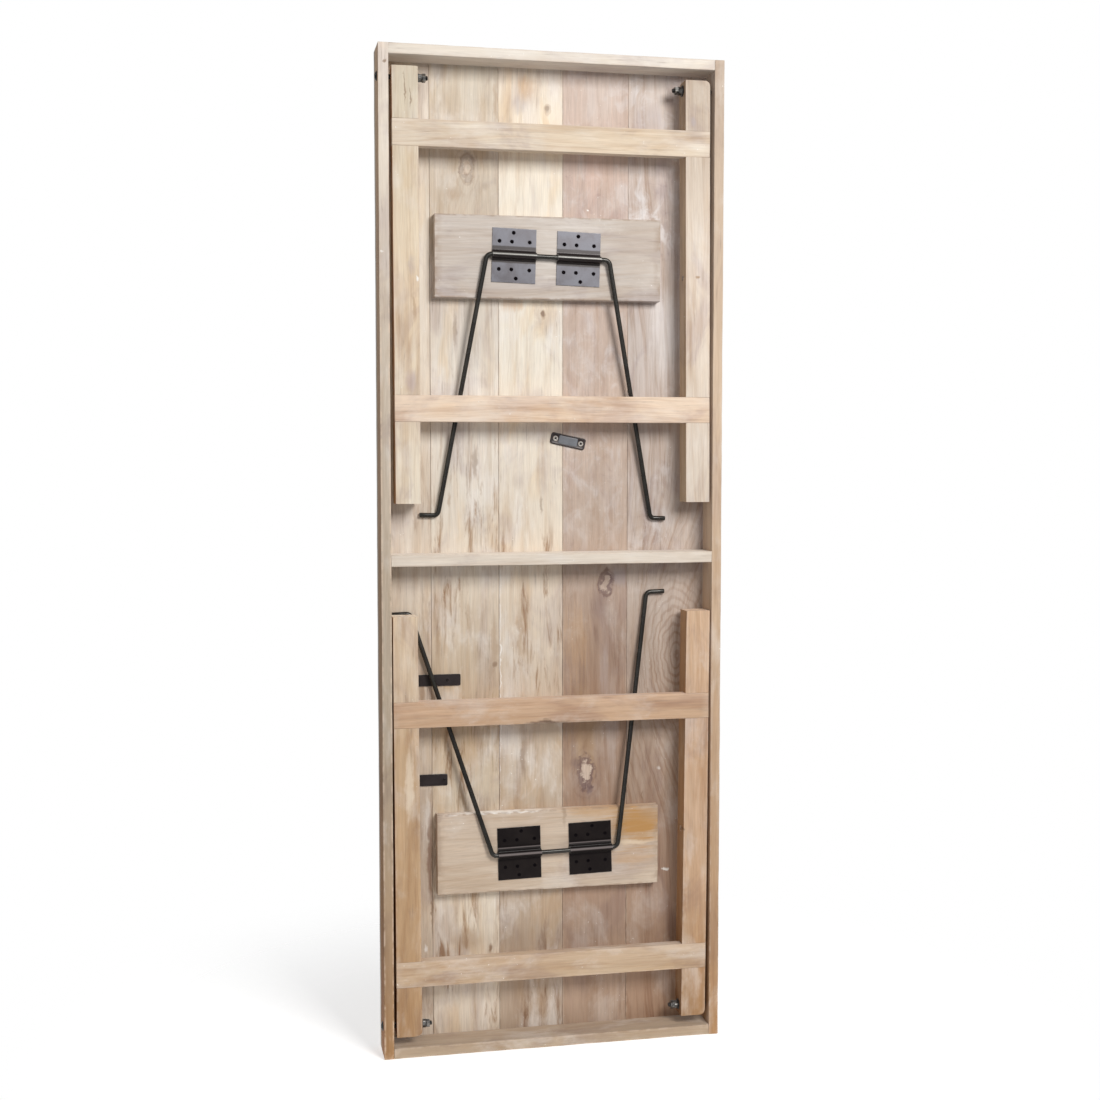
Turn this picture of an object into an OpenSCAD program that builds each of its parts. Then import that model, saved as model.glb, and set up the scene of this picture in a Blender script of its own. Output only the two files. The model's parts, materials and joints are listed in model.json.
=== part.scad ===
// Folding plank-top table, folded flat and standing on its short end.
// X runs across the table, Z along its length, and the underside faces -Y.
// Depths are measured inwards from the front edge of the side rails.

/* [Table top] */
// Length of the table top
top_len = 1700; // [1500:10:1900]
// Width of the table top
top_w = 592; // [560:1:640]
// Thickness of the planks
top_t = 18; // [16:0.5:24]
// Depth of the rails that frame the underside
apron_d = 55; // [55:1:70]
// Thickness of the two long side rails
side_t = 17; // [15:0.5:22]
// Thickness of the two end rails
end_t = 18; // [15:0.5:22]
// Thickness of the batten across the middle
batten_t = 19.5; // [15:0.5:25]
// Height of the batten's centre line
batten_z = 849.5; // [845:0.5:855]

/* [Leg frames] */
// Width of a leg at its pivot end
leg_w = 43.5; // [40:0.5:44]
// Width of a leg at its foot
leg_foot_w = 42; // [38:0.5:44]
// Depth of a leg, front to back
leg_d = 39; // [36:0.5:40]
// How far the legs stand back from the rails' front edge
leg_recess = 4.5; // [4:0.5:5]
// Pivot to foot
leg_reach = 705; // [690:1:715]
// Pivot to the short end of a leg
leg_tail = 15; // [14:0.5:18]
// Pivot distance from the end of the table
pivot_in = 50; // [46:0.5:54]
// Width of a stretcher
stretcher_w = 44.5; // [40:0.5:50]
// Depth of a stretcher, half-lapped flush into the legs
stretcher_d = 19.5; // [15:0.5:20]
// Pivot to the first stretcher's centre line
stretcher_near = 92.5; // [85:0.5:100]
// Pivot to the second stretcher's centre line, upper frame
stretcher_far_upper = 546; // [535:0.5:555]
// Pivot to the second stretcher's centre line, lower frame
stretcher_far_lower = 538.5; // [530:0.5:550]

/* [Pivot bolts] */
// Diameter of the pivot bolts
bolt_d = 8; // [8:0.5:8]
// Radial running clearance of a leg on its bolt
bolt_play = 0.08; // [0.05:0.01:0.1]
// Diameter of a bolt's domed head
bolt_head_d = 17; // [15:0.5:20]
// Height of a bolt's domed head
bolt_head_h = 3.5; // [2.5:0.5:4]
// Size of a nut across its flats
nut_af = 13; // [13:0.5:14]
// Thickness of a nut
nut_t = 6.2; // [5:0.1:6.5]
// Outer diameter of a washer
washer_d = 19; // [16:0.5:24]
// Thickness of a washer
washer_t = 1.6; // [1.2:0.1:2]

/* [Hinge boards and saddle plates] */
// Length of a hinge board
board_w = 393; // [380:1:400]
// Height of a hinge board
board_h = 140; // [135:1:150]
// Thickness of a hinge board
board_t = 20; // [19:0.5:20]
// Width of a saddle plate along the rod
plate_w = 76; // [70:0.5:80]
// Height of a saddle plate across the rod
plate_h = 91.5; // [88:0.5:96]
// Thickness of a saddle plate's steel
plate_t = 1.5; // [1.2:0.1:1.6]
// Diameter of a countersunk screw head
screw_head_d = 6.4; // [6:0.1:7]
// Diameter of a screw's shank
screw_d = 3.4; // [3:0.1:3.6]

/* [Braces] */
// Diameter of the brace rod
rod_d = 8; // [8:0.5:8]
// Radial running clearance of the rod in its saddles
rod_play = 0.08; // [0.05:0.01:0.1]
// Centre-line radius of the bends beside the saddles
bend_r = 10; // [9:0.5:10]
// Centre-line radius of the bends at the hooks
hook_r = 9; // [8:0.5:10]
// Gap between a saddle's rod and the hinge board behind it
rod_stand = 4; // [3.9:0.05:4.1]
// Angle at which a folded brace leans back towards the table top
rest_slope = 3; // [2.95:0.05:3.05]
// Diameter of the hook holes in the legs
hook_hole_d = 10; // [9:0.5:11]
// Pivot to a hook hole
hook_hole_reach = 318; // [310:1:335]

/* [Mending plates] */
// Length of a flat mending bar
bar_len = 100; // [90:1:100]
// Width of a flat mending bar
bar_w = 20; // [16:0.5:22]
// Thickness of a flat mending bar
bar_t = 2; // [1.5:0.1:2.5]
// Length of the small mending plate
patch_len = 62; // [55:1:70]
// Width of the small mending plate
patch_w = 20; // [16:0.5:24]
// Tilt of the small mending plate
patch_tilt = 12; // [0:0.5:20]

/* [Hidden] */
$fn = 64;

total_d = apron_d + top_t;
front_y = -total_d / 2;
top_face_y = front_y + apron_d;
inner_half_w = top_w / 2 - side_t;
gap = 0.2;
over = 1;

// Plank joints across the width, left to right, and the crack between two planks
plank_edges = [-top_w / 2, -205.5, -87.5, 25, 141, top_w / 2];
plank_crack = 0.4;

// Leg frames: pivot axis, then each leg's centre line at the pivot end and at the foot,
// and the far stretcher's distance from the pivot
pivot_y = front_y + leg_recess + leg_d / 2;
upper_left_x = [-251.6, -249.4, stretcher_far_upper];
upper_right_x = [250.2, 254.2, stretcher_far_upper];
lower_left_x = [-252.2, -255.8, stretcher_far_lower];
lower_right_x = [251, 256.4, stretcher_far_lower];
leg_corner_r = 9;
leg_back_r = 10;
hook_hole_deep = 26;

// Pivot hardware: clearance round a bolt, its tip beyond the nuts, and the turn between two nuts
bolt_hole_play = 0.1;
bolt_tip_out = 4;
nut_twist = 14;
dome_steps = 6;

// Hinge boards and rod axes: centre of each, measured from the table's nearer end
board_x = -3;
board_in = 338.5;
board_face_y = top_face_y - board_t;
rod_lift = rod_d / 2 + rod_stand;
rod_y = board_face_y - rod_lift;
upper_axis = [-5.85, 337.6];
lower_axis = [6.9, 337.1];
upper_tilt = 1.6;
lower_tilt = 1.4;

// Saddle plates along each rod, measured from the middle of the crossbar
upper_saddles = [-58.5, 53.9];
lower_saddles = [-63.1, 63.4];
saddle_wall_r = rod_d / 2 + rod_play;
saddle_crest_r = saddle_wall_r + plate_t;
shoulder_r = 4.5;
shoulder_x = saddle_crest_r + shoulder_r;
screw_spots = [
    [-25.5, 23.7], [-4, 23.5], [27, 23.7], [4, 38.5],
    [-25.5, -23.5], [-4.2, -23.2], [26.5, -23.5], [-1.5, -38.3]
];
screw_len = 16;
screw_cone = 1.3;
screw_sink = 0.1;
pilot_play = 0.2;
screw_hole_play = 0.6;
screw_head_play = 0.4;
pilot_d = screw_d + pilot_play;

// The bends swell by a hair and take in the ends of the straight runs
bend_swell = 0.06;
bend_lap = 0.3;

// Brace rods seen flat: hook tip, hook, crossbar corner, and the same on the right
upper_brace = [[-207.8, 444.6], [-176, 444.6], [-106.3, 0], [106.3, 0], [199.6, 441.6], [226.2, 441.6]];
lower_brace = [[-270.8, 425.1], [-239.5, 425.1], [-111, 0], [111, 0], [178.7, 445.1], [211.2, 445.1]];

// Mending pieces: centres, and the spots of their screws from the centre
patch_at = [34, 1050.5];
patch_screws = 22.8;
bar_upper_at = [-205.5, 639.5];
bar_upper_screws = 27;
bar_lower_at = [-228.8, 466];
bar_lower_screws = 44;
patch_t = 2.4;
patch_corner_r = 4;
bar_corner_r = 2.5;
mend_screw_d = 3;
mend_screw_len = 13;
mend_pilot_spare = 1;
mend_pilot_front = 10;
patch_head_d = 9.5;
patch_head_h = 2;
bar_head_d = 5;
bar_head_h = 0.8;
head_taper = 2;

wood_pale = "#d9c7ae";
wood_warm = "#d2b595";
wood_grey = "#b9a795";
steel_dark = "#3a3534";
steel_black = "#211f1e";
zinc = "#b8b4ac";

// Frame of reference at the nearer end: the upper half of the table is the mirrored lower half
module at_upper_end() {
    translate([0, 0, top_len])
        mirror([0, 0, 1])
            children();
}

// Bar along X between two points at the same depth and height
module along_x(x_from, d, length) {
    translate([x_from, 0, 0])
        rotate([0, 90, 0])
            cylinder(d = d, h = length);
}

// ---------- Table top ----------

module plank(i) {
    left = plank_edges[i] + (i == 0 ? 0 : plank_crack / 2);
    right = plank_edges[i + 1] - (i == 4 ? 0 : plank_crack / 2);
    color(i < 3 ? wood_pale : wood_grey)
        difference() {
            translate([left, top_face_y, 0])
                cube([right - left, top_t, top_len]);
            mending_pilots();
        }
}

module side_rail(side) {
    color(wood_pale)
        difference() {
            translate([side < 0 ? -top_w / 2 : inner_half_w, front_y, 0])
                cube([side_t, apron_d, top_len]);
            for (z = [pivot_in, top_len - pivot_in])
                translate([0, pivot_y, z])
                    along_x(side < 0 ? -top_w : 0, bolt_d + bolt_hole_play, top_w);
        }
}

module end_rail(z) {
    color(wood_pale)
        translate([-inner_half_w, front_y, z])
            cube([2 * inner_half_w, apron_d, end_t]);
}

module centre_batten() {
    color(wood_pale)
        translate([-inner_half_w, front_y, batten_z - batten_t / 2])
            cube([2 * inner_half_w, apron_d, batten_t]);
}

// ---------- Pivot bolts ----------

head_sphere_r = (pow(bolt_head_d / 2, 2) + pow(bolt_head_h, 2)) / (2 * bolt_head_h);
dome_angle = asin(bolt_head_d / 2 / head_sphere_r);

// Each pivot: which side, upper end or not, and the leg that turns there
pivots = [
    [-1, true, upper_left_x],
    [1, true, upper_right_x],
    [-1, false, lower_left_x],
    [1, false, lower_right_x]
];

function face_x(i) = abs(leg_x(pivots[i][2], 0)) - leg_half(0);
function washer_x(i) = face_x(i) - gap - washer_t;
function bolt_tip_x(i) = washer_x(i) - 2 * (nut_t + gap) - bolt_tip_out;

// Puts its children on pivot i, drawn as for a right-hand leg
module at_pivot(i) {
    translate([0, pivot_y, pivots[i][1] ? top_len - pivot_in : pivot_in])
        mirror([pivots[i][0] < 0 ? 1 : 0, 0, 0])
            children();
}

module bolt(i) {
    color(steel_black)
        at_pivot(i)
            union() {
                along_x(bolt_tip_x(i), bolt_d, top_w / 2 - bolt_tip_x(i) + gap);
                translate([top_w / 2, 0, 0])
                    rotate([0, 90, 0])
                        bolt_dome();
            }
}

// Low domed head, its flat side on the origin's plane
module bolt_dome() {
    rotate_extrude()
        polygon(concat([[0, 0]], [
            for (k = [0:dome_steps])
                let (a = dome_angle * (1 - k / dome_steps))
                    [head_sphere_r * sin(a), head_sphere_r * cos(a) - head_sphere_r + bolt_head_h]
        ]));
}

module washer(i) {
    difference() {
        along_x(washer_x(i), washer_d, washer_t);
        along_x(washer_x(i) - over, bolt_d + bolt_hole_play, washer_t + 2 * over);
    }
}

module nut_pair(i) {
    for (k = [1, 2])
        translate([washer_x(i) - k * (nut_t + gap), 0, 0])
            difference() {
                rotate([0, 90, 0])
                    rotate([0, 0, k * nut_twist])
                        cylinder(d = nut_af / cos(30), h = nut_t, $fn = 6);
                along_x(-over, bolt_d + bolt_hole_play, nut_t + 2 * over);
            }
}

module washers() {
    color(steel_black)
        for (i = [0:3])
            at_pivot(i)
                washer(i);
}

module nuts(both) {
    color(zinc)
        for (i = both)
            at_pivot(i)
                nut_pair(i);
}

// ---------- Leg frames, in a frame whose origin is on the pivot axis ----------

function leg_x(ends, z) = ends[0] + (ends[1] - ends[0]) * (z + leg_tail) / (leg_reach + leg_tail);
function leg_half(z) = (leg_w + (leg_foot_w - leg_w) * (z + leg_tail) / (leg_reach + leg_tail)) / 2;

// Quarter-round that is cut away at a corner, pointing to +x and -y
module corner_waste(r) {
    difference() {
        translate([-r, -r - over])
            square([r + over, r + over]);
        translate([-r, 0])
            circle(r = r);
    }
}

module leg_outline(ends, round_side) {
    difference() {
        polygon([
            [leg_x(ends, -leg_tail) - leg_half(-leg_tail), -leg_tail],
            [leg_x(ends, -leg_tail) + leg_half(-leg_tail), -leg_tail],
            [leg_x(ends, leg_reach) + leg_half(leg_reach), leg_reach],
            [leg_x(ends, leg_reach) - leg_half(leg_reach), leg_reach]
        ]);
        if (round_side != 0) {
            corner_x = leg_x(ends, -leg_tail) + round_side * leg_half(-leg_tail);
            translate([corner_x, leg_corner_r - leg_tail])
                mirror([round_side < 0 ? 1 : 0, 0])
                    corner_waste(leg_corner_r);
        }
    }
}

// inward is +1 for a left leg, -1 for a right leg
module leg(ends, inward, round_side) {
    color(wood_warm)
        difference() {
            rotate([90, 0, 0])
                linear_extrude(leg_d, center = true)
                    leg_outline(ends, round_side);
            along_x(ends[0] - leg_w, bolt_d + 2 * bolt_play, 2 * leg_w);
            hook_hole(leg_x(ends, hook_hole_reach) + inward * leg_half(hook_hole_reach), inward);
            for (z = [stretcher_near, ends[2]])
                translate([ends[0] - leg_w, -leg_d / 2 - over, z - stretcher_w / 2])
                    cube([2 * leg_w, stretcher_d + over, stretcher_w]);
            translate([ends[0] - leg_w, leg_d / 2 - leg_back_r, -leg_tail])
                leg_back_waste();
        }
}

// Blind hole drilled from a leg's inner face, away from the table's middle
module hook_hole(face, inward) {
    translate([0, 0, hook_hole_reach])
        along_x(face - (inward > 0 ? hook_hole_deep : over), hook_hole_d, hook_hole_deep + over);
}

// Rounds the hidden back edge of a leg's pivot end
module leg_back_waste() {
    difference() {
        translate([0, 0, -over])
            cube([2 * leg_w, leg_back_r + over, leg_back_r + over]);
        translate([-over, 0, leg_back_r])
            rotate([0, 90, 0])
                cylinder(r = leg_back_r, h = 2 * (leg_w + over));
    }
}

module stretcher(left_ends, right_ends, z) {
    low = z - stretcher_w / 2;
    high = z + stretcher_w / 2;
    color(wood_warm)
        translate([0, stretcher_d - leg_d / 2, 0])
            rotate([90, 0, 0])
                linear_extrude(stretcher_d)
                    polygon([
                        [leg_x(left_ends, low) - leg_half(low), low],
                        [leg_x(right_ends, low) + leg_half(low), low],
                        [leg_x(right_ends, high) + leg_half(high), high],
                        [leg_x(left_ends, high) - leg_half(high), high]
                    ]);
}

module upper_stretcher(z) {
    upper_frame()
        stretcher(upper_left_x, upper_right_x, z);
}

module lower_stretcher(z) {
    lower_frame()
        stretcher(lower_left_x, lower_right_x, z);
}

module lower_frame() {
    translate([0, pivot_y, pivot_in])
        children();
}

module upper_frame() {
    at_upper_end()
        lower_frame()
            children();
}

// ---------- Hinge boards, saddle plates and their screws ----------

// Places its children on a rod's axis, with the crossbar along X and the arms towards +Z
module at_rod(axis, tilt) {
    translate([axis[0], rod_y, axis[1]])
        rotate([0, -tilt, 0])
            children();
}

module hinge_board(axis, tilt, saddles) {
    color(wood_pale)
        difference() {
            translate([board_x - board_w / 2, board_face_y, board_in - board_h / 2])
                cube([board_w, board_t, board_h]);
            at_rod(axis, tilt)
                at_saddle_screws(saddles)
                    rotate([-90, 0, 0])
                        cylinder(d = pilot_d, h = screw_len + over);
        }
}

// Puts its children on the front face of the plates, at every screw
module at_saddle_screws(saddles) {
    for (x = saddles)
        for (spot = screw_spots)
            translate([x + spot[0], rod_lift - plate_t, spot[1]])
                children();
}

// Cross-section of the pressed sheet, drawn with the board's face at x = 0 and outwards as +x
module saddle_section() {
    difference() {
        union() {
            translate([0, -plate_h / 2])
                square([plate_t, plate_h]);
            raised_outline(saddle_crest_r, shoulder_r, 0);
        }
        raised_outline(saddle_wall_r, shoulder_r + plate_t, over);
    }
}

// Round crest on straight walls that run out into hollow shoulders
module raised_outline(crest_r, hollow_r, below) {
    translate([rod_lift, 0])
        circle(r = crest_r);
    translate([-below, -crest_r])
        square([rod_lift + below, 2 * crest_r]);
    difference() {
        translate([-below, -shoulder_x])
            square([plate_t + shoulder_r + below, 2 * shoulder_x]);
        for (side = [-1, 1])
            translate([plate_t + shoulder_r, side * shoulder_x])
                circle(r = hollow_r);
    }
}

module saddle_plate(axis, tilt, x) {
    color(steel_dark)
        at_rod(axis, tilt)
            difference() {
                translate([x - plate_w / 2, rod_lift, 0])
                    rotate([90, 0, 90])
                        linear_extrude(plate_w)
                            mirror([1, 0])
                                saddle_section();
                for (spot = screw_spots)
                    translate([x + spot[0], rod_lift, spot[1]])
                        rotate([90, 0, 0])
                            countersink();
            }
}

// Countersunk hole through a plate, from the back face up to the front face
module countersink() {
    translate([0, 0, -over])
        cylinder(d = screw_d + screw_hole_play, h = plate_t + 2 * over);
    cylinder(d1 = screw_d + screw_hole_play, d2 = screw_head_d + screw_head_play, h = plate_t);
    translate([0, 0, plate_t])
        cylinder(d = screw_head_d + screw_head_play, h = over);
}

module wood_screw() {
    rotate([-90, 0, 0])
        union() {
            translate([0, 0, screw_sink])
                cylinder(d1 = screw_head_d, d2 = screw_d, h = screw_cone);
            translate([0, 0, screw_cone])
                cylinder(d = screw_d, h = screw_len - screw_cone);
        }
}

module saddle_screws(axis, tilt, saddles) {
    color(steel_black)
        at_rod(axis, tilt)
            at_saddle_screws(saddles)
                wood_screw();
}

module upper_board() {
    at_upper_end()
        hinge_board(upper_axis, upper_tilt, upper_saddles);
}

module upper_screws() {
    at_upper_end()
        saddle_screws(upper_axis, upper_tilt, upper_saddles);
}

module upper_saddle_plate(x) {
    at_upper_end()
        saddle_plate(upper_axis, upper_tilt, x);
}

module lower_saddle_plate(x) {
    saddle_plate(lower_axis, lower_tilt, x);
}

// ---------- Brace rods ----------

function heading(p, i) = atan2(p[i + 1][1] - p[i][1], p[i + 1][0] - p[i][0]);
function wrapped(a) = a > 180 ? a - 360 : a < -180 ? a + 360 : a;
function turn(p, i) = wrapped(heading(p, i) - heading(p, i - 1));
function corner_r(i) = i == 1 || i == 4 ? hook_r : bend_r;
function trim(p, i) = i == 0 || i == 5 ? 0 : corner_r(i) * tan(abs(turn(p, i)) / 2);
function seg_len(p, i) = norm(p[i + 1] - p[i]);

// Straight run i of the rod, between its two bends
module rod_run(p, i) {
    from = i == 0 ? 0 : trim(p, i) - bend_lap;
    to = i == 4 ? seg_len(p, i) : seg_len(p, i) - trim(p, i + 1) + bend_lap;
    translate([p[i][0], p[i][1], 0])
        rotate([0, 0, heading(p, i)])
            translate([from, 0, 0])
                rotate([0, 90, 0])
                    cylinder(d = rod_d, h = to - from);
}

// Bend i of the rod
module rod_bend(p, i) {
    a = heading(p, i - 1);
    way = sign(turn(p, i));
    translate([p[i][0], p[i][1], 0])
        rotate([0, 0, a])
            translate([-trim(p, i), way * corner_r(i), 0])
                rotate([0, 0, way > 0 ? -90 : 90 + turn(p, i)])
                    rotate_extrude(angle = abs(turn(p, i)))
                        translate([corner_r(i), 0])
                            circle(d = rod_d + bend_swell);
}

module brace_rod(axis, tilt, p) {
    color(steel_black)
        at_rod(axis, tilt)
            rotate([-rest_slope, 0, 0])
                rotate([90, 0, 0])
                    union() {
                        for (i = [0:4])
                            rod_run(p, i);
                        for (i = [1:4])
                            rod_bend(p, i);
                    }
}

module upper_rod() {
    at_upper_end()
        brace_rod(upper_axis, upper_tilt, upper_brace);
}

// ---------- Mending plates ----------

module flat_bar(length, width, t, corner_r) {
    rotate([90, 0, 0])
        linear_extrude(t)
            union() {
                square([length - 2 * corner_r, width], center = true);
                square([length, width - 2 * corner_r], center = true);
                for (sx = [-1, 1])
                    for (sz = [-1, 1])
                        translate([sx * (length / 2 - corner_r), sz * (width / 2 - corner_r)])
                            circle(r = corner_r);
            }
}

// Puts its children on the table top's underside, at each mending screw
module at_mending_screws(which) {
    if (which == "patch")
        translate([patch_at[0], top_face_y, patch_at[1]])
            rotate([0, patch_tilt, 0])
                for (s = [-1, 1])
                    translate([s * patch_screws, 0, 0])
                        children();
    if (which == "bars")
        for (bar = [[bar_upper_at, bar_upper_screws], [bar_lower_at, bar_lower_screws]])
            for (s = [-1, 1])
                translate([bar[0][0] + s * bar[1], top_face_y, bar[0][1]])
                    children();
}

module mending_pilots() {
    for (which = ["patch", "bars"])
        at_mending_screws(which)
            translate([0, -mend_pilot_front, 0])
                rotate([-90, 0, 0])
                    cylinder(d = mend_screw_d + pilot_play, h = mend_pilot_front + mend_screw_len);
}

module mending_plate() {
    color(steel_dark)
        difference() {
            translate([patch_at[0], top_face_y, patch_at[1]])
                rotate([0, patch_tilt, 0])
                    flat_bar(patch_len, patch_w, patch_t, patch_corner_r);
            mending_pilots();
        }
}

module mending_bar(at) {
    color(steel_black)
        difference() {
            translate([at[0], top_face_y, at[1]])
                flat_bar(bar_len, bar_w, bar_t, bar_corner_r);
            mending_pilots();
        }
}

module headed_screw(head_d, head_h, under) {
    rotate([-90, 0, 0])
        union() {
            translate([0, 0, -under - head_h])
                cylinder(d1 = head_d - head_taper, d2 = head_d, h = head_h);
            translate([0, 0, -under])
                cylinder(d = mend_screw_d, h = under + mend_screw_len - mend_pilot_spare);
        }
}

module mending_screws() {
    color(zinc) {
        at_mending_screws("patch")
            headed_screw(patch_head_d, patch_head_h, patch_t);
        at_mending_screws("bars")
            headed_screw(bar_head_d, bar_head_h, bar_t);
    }
}

plank(0);  // plank_1
plank(1);  // plank_2
plank(2);  // plank_3
plank(3);  // plank_4
plank(4);  // plank_5
side_rail(-1);  // side_rail_left
side_rail(1);  // side_rail_right
end_rail(top_len - end_t);  // end_rail_top
end_rail(0);  // end_rail_bottom
centre_batten();
bolt(0);  // pivot_bolt_upper_left
bolt(1);  // pivot_bolt_upper_right
bolt(2);  // pivot_bolt_lower_left
bolt(3);  // pivot_bolt_lower_right
washers();  // pivot_washers
nuts([0, 1]);  // pivot_nuts_upper
nuts([2, 3]);  // pivot_nuts_lower
upper_frame() leg(upper_left_x, 1, 0);  // leg_upper_left
upper_frame() leg(upper_right_x, -1, 1);  // leg_upper_right
upper_stretcher(stretcher_near);  // stretcher_upper_near
upper_stretcher(stretcher_far_upper);  // stretcher_upper_far
lower_frame() leg(lower_left_x, 1, 1);  // leg_lower_left
lower_frame() leg(lower_right_x, -1, 1);  // leg_lower_right
lower_stretcher(stretcher_near);  // stretcher_lower_near
lower_stretcher(stretcher_far_lower);  // stretcher_lower_far
upper_board();  // hinge_board_upper
hinge_board(lower_axis, lower_tilt, lower_saddles);  // hinge_board_lower
upper_saddle_plate(upper_saddles[0]);  // saddle_plate_upper_left
upper_saddle_plate(upper_saddles[1]);  // saddle_plate_upper_right
lower_saddle_plate(lower_saddles[0]);  // saddle_plate_lower_left
lower_saddle_plate(lower_saddles[1]);  // saddle_plate_lower_right
upper_screws();  // saddle_screws_upper
saddle_screws(lower_axis, lower_tilt, lower_saddles);  // saddle_screws_lower
upper_rod();  // brace_rod_upper
brace_rod(lower_axis, lower_tilt, lower_brace);  // brace_rod_lower
mending_plate();
mending_bar(bar_upper_at);  // mending_bar_upper
mending_bar(bar_lower_at);  // mending_bar_lower
mending_screws();
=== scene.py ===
"""Looks for the folding table: worn pale wood, blackened and plated steel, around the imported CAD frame."""

import json
import math

import bmesh
import bpy
from mathutils import Matrix, Vector, noise


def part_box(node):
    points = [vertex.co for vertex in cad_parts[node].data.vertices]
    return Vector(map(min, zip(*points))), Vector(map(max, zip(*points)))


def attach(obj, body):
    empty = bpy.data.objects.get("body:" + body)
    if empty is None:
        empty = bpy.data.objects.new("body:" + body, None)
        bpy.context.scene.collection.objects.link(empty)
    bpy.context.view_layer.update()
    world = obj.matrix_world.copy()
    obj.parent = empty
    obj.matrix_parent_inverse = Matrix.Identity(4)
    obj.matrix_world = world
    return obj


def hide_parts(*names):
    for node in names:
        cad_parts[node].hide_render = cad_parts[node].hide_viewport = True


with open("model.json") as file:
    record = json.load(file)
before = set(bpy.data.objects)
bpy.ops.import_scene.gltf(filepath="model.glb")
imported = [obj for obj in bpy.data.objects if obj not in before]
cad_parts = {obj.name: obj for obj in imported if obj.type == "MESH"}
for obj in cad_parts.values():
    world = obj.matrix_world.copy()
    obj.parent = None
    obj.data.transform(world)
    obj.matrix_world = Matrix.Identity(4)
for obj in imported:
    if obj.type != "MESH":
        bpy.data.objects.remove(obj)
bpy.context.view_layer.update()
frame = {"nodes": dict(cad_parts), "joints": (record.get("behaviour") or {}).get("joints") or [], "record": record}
NODES = frame["nodes"]
RECORD = frame["record"]
JOINTS = {j["name"]: j for j in frame["joints"]}
BODY_OF = {n: b for b, ns in RECORD["behaviour"]["bodies"].items() for n in ns}
MM = 0.001
AXIS = {"x": 0, "y": 1, "z": 2}
UNIT = {"x": Vector((1, 0, 0)), "y": Vector((0, 1, 0)), "z": Vector((0, 0, 1))}


# ---------- material nodes ----------


class Nodes:
    """Thin wrapper that makes shader nodes and links in one call each."""

    def __init__(self, name):
        self.mat = bpy.data.materials.new(name)
        self.mat.use_nodes = True
        self.tree = self.mat.node_tree
        self.bsdf = self.tree.nodes["Principled BSDF"]
        self.co = self.make("ShaderNodeTexCoord").outputs["Object"]

    def make(self, kind, **settings):
        node = self.tree.nodes.new(kind)
        for key, value in settings.items():
            setattr(node, key, value)
        return node

    def put(self, socket, value):
        if isinstance(value, bpy.types.NodeSocket):
            self.tree.links.new(value, socket)
        else:
            socket.default_value = value

    def math(self, op, a, b=0.0, c=0.0):
        node = self.make("ShaderNodeMath", operation=op)
        for socket, value in zip(node.inputs, (a, b, c)):
            self.put(socket, value)
        return node.outputs[0]

    def vmath(self, op, a, b=(0, 0, 0)):
        node = self.make("ShaderNodeVectorMath", operation=op)
        self.put(node.inputs[0], a)
        self.put(node.inputs[1], b)
        return node.outputs["Value" if op in ("LENGTH", "DOT_PRODUCT") else "Vector"]

    def scaled(self, vector, scale, offset=(0, 0, 0)):
        return self.vmath("ADD", self.vmath("MULTIPLY", vector, scale), offset)

    def noise(self, vector, scale, detail=2.0, rough=0.5, distort=0.0, output="Fac"):
        node = self.make("ShaderNodeTexNoise")
        self.put(node.inputs["Vector"], vector)
        self.put(node.inputs["Scale"], scale)
        self.put(node.inputs["Detail"], detail)
        self.put(node.inputs["Roughness"], rough)
        self.put(node.inputs["Distortion"], distort)
        return node.outputs[output]

    def around(self, value, middle):
        """How far a value lies above a middle value."""
        return self.math("SUBTRACT", value, middle)

    def product(self, a, b):
        return self.math("MULTIPLY", a, b)

    def span(self, value, lo, hi, to_lo=0.0, to_hi=1.0):
        """Smooth step of a value from lo..hi on to to_lo..to_hi."""
        node = self.make("ShaderNodeMapRange", interpolation_type="SMOOTHSTEP")
        for socket, v in zip(node.inputs[:5], (value, lo, hi, to_lo, to_hi)):
            self.put(socket, v)
        return node.outputs[0]

    def ramp(self, fac, stops):
        node = self.make("ShaderNodeValToRGB")
        points = node.color_ramp.elements
        while len(points) < len(stops):
            points.new(0.5)
        for point, (at, colour) in zip(points, stops):
            point.position = at
            point.color = (*colour, 1)
        self.put(node.inputs[0], fac)
        return node.outputs[0]

    def mix(self, fac, a, b, how="MIX"):
        node = self.make("ShaderNodeMix", data_type="RGBA", blend_type=how)
        self.put(node.inputs[0], fac)
        self.put(node.inputs[6], a if isinstance(a, bpy.types.NodeSocket) else (*a, 1))
        self.put(node.inputs[7], b if isinstance(b, bpy.types.NodeSocket) else (*b, 1))
        return node.outputs[2]

    def grey(self, value):
        node = self.make("ShaderNodeCombineColor")
        for socket in node.inputs[:3]:
            self.put(socket, value)
        return node.outputs[0]

    def attribute(self, name):
        return self.make("ShaderNodeAttribute", attribute_name=name).outputs["Fac"]

    def bump(self, height, strength, distance):
        node = self.make("ShaderNodeBump")
        self.put(node.inputs["Height"], height)
        self.put(node.inputs["Strength"], strength)
        self.put(node.inputs["Distance"], distance)
        self.put(self.bsdf.inputs["Normal"], node.outputs[0])


def along(axis, ratio):
    """Scale vector that stretches a pattern along the grain."""
    s = [1.0, 1.0, 1.0]
    s[AXIS[axis]] = ratio
    return tuple(s)


RING_WOBBLE = 0.045  # metres that the growth lines wander
RAGGEDNESS = 0.014  # metres that the outlines of stains and knots wander
SWIRL_WOBBLE, SWIRL_GAP = 0.06, 0.0013  # the same for the lines round a knot, and their gap over 2 pi
PIN_KNOT = 0.008  # knots smaller than this are plain dark dots
CHANNEL_SHIFT, CREST_SHIFT = 0.0015, 0.0012  # heights of a saddle channel's middle and crest above its axis


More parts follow.
